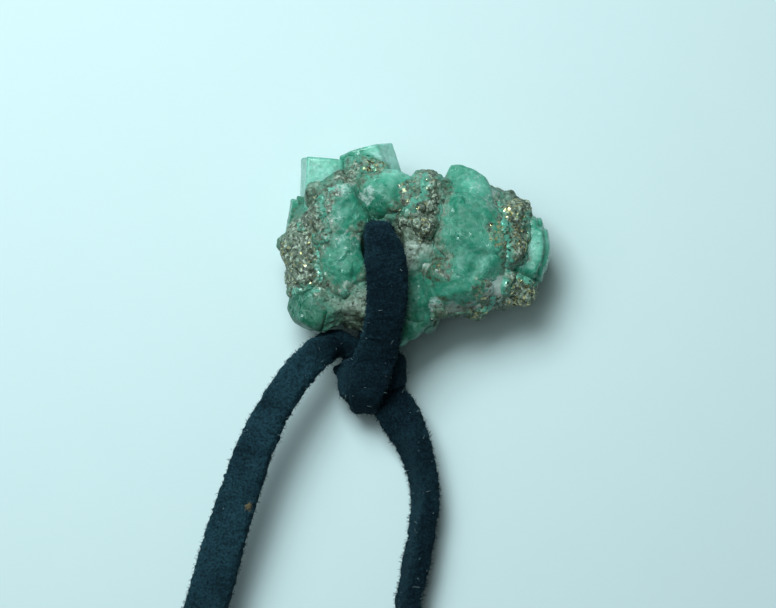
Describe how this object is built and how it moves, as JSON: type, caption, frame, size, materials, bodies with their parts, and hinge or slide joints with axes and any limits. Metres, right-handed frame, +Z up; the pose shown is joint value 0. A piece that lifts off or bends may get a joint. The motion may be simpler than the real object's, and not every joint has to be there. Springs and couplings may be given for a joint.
{
  "type": "emerald in matrix, drilled, on a lace",
  "caption": "Lump of calcite and pyrite rock with green beryl crystals, drilled through and hung on a knotted flat suede lace, lying on its flat underside.",
  "frame": {"origin": "middle of the stone's underside, on the surface that it lies on", "axes": "+X along the stone's length, +Y away from the lace's ends, +Z up out of the drilled face"},
  "size_m": [0.0458, 0.0837, 0.0113],
  "materials": {
    "emerald": "vitreous, milky green beryl",
    "rock": "broken calcite, grey-white, sugary",
    "pyrite": "bright metallic grains",
    "suede": "napped suede, navy black",
    "thread": "waxed thread"
  },
  "bodies": {
    "root": {"matrix": "rock", "emerald_prism_left": "emerald", "emerald_prism_right": "emerald", "emerald_prism_edge": "emerald", "emerald_face": "emerald", "emerald_milky": "emerald", "emerald_brow": "emerald", "emerald_heart": "emerald", "emerald_end": "emerald", "emerald_toe": "emerald", "emerald_keel": "emerald", "pyrite_left": "pyrite", "pyrite_middle": "pyrite", "pyrite_right": "pyrite", "pyrite_foot": "pyrite", "pyrite_rim": "pyrite", "pyrite_crest": "pyrite", "lace_front": "suede", "lace_back": "suede", "lace_knot": "suede", "lace_leg_left": "suede", "lace_leg_right": "suede", "lace_coil": "suede", "coil_tie": "thread"}
  },
  "joints": []
}
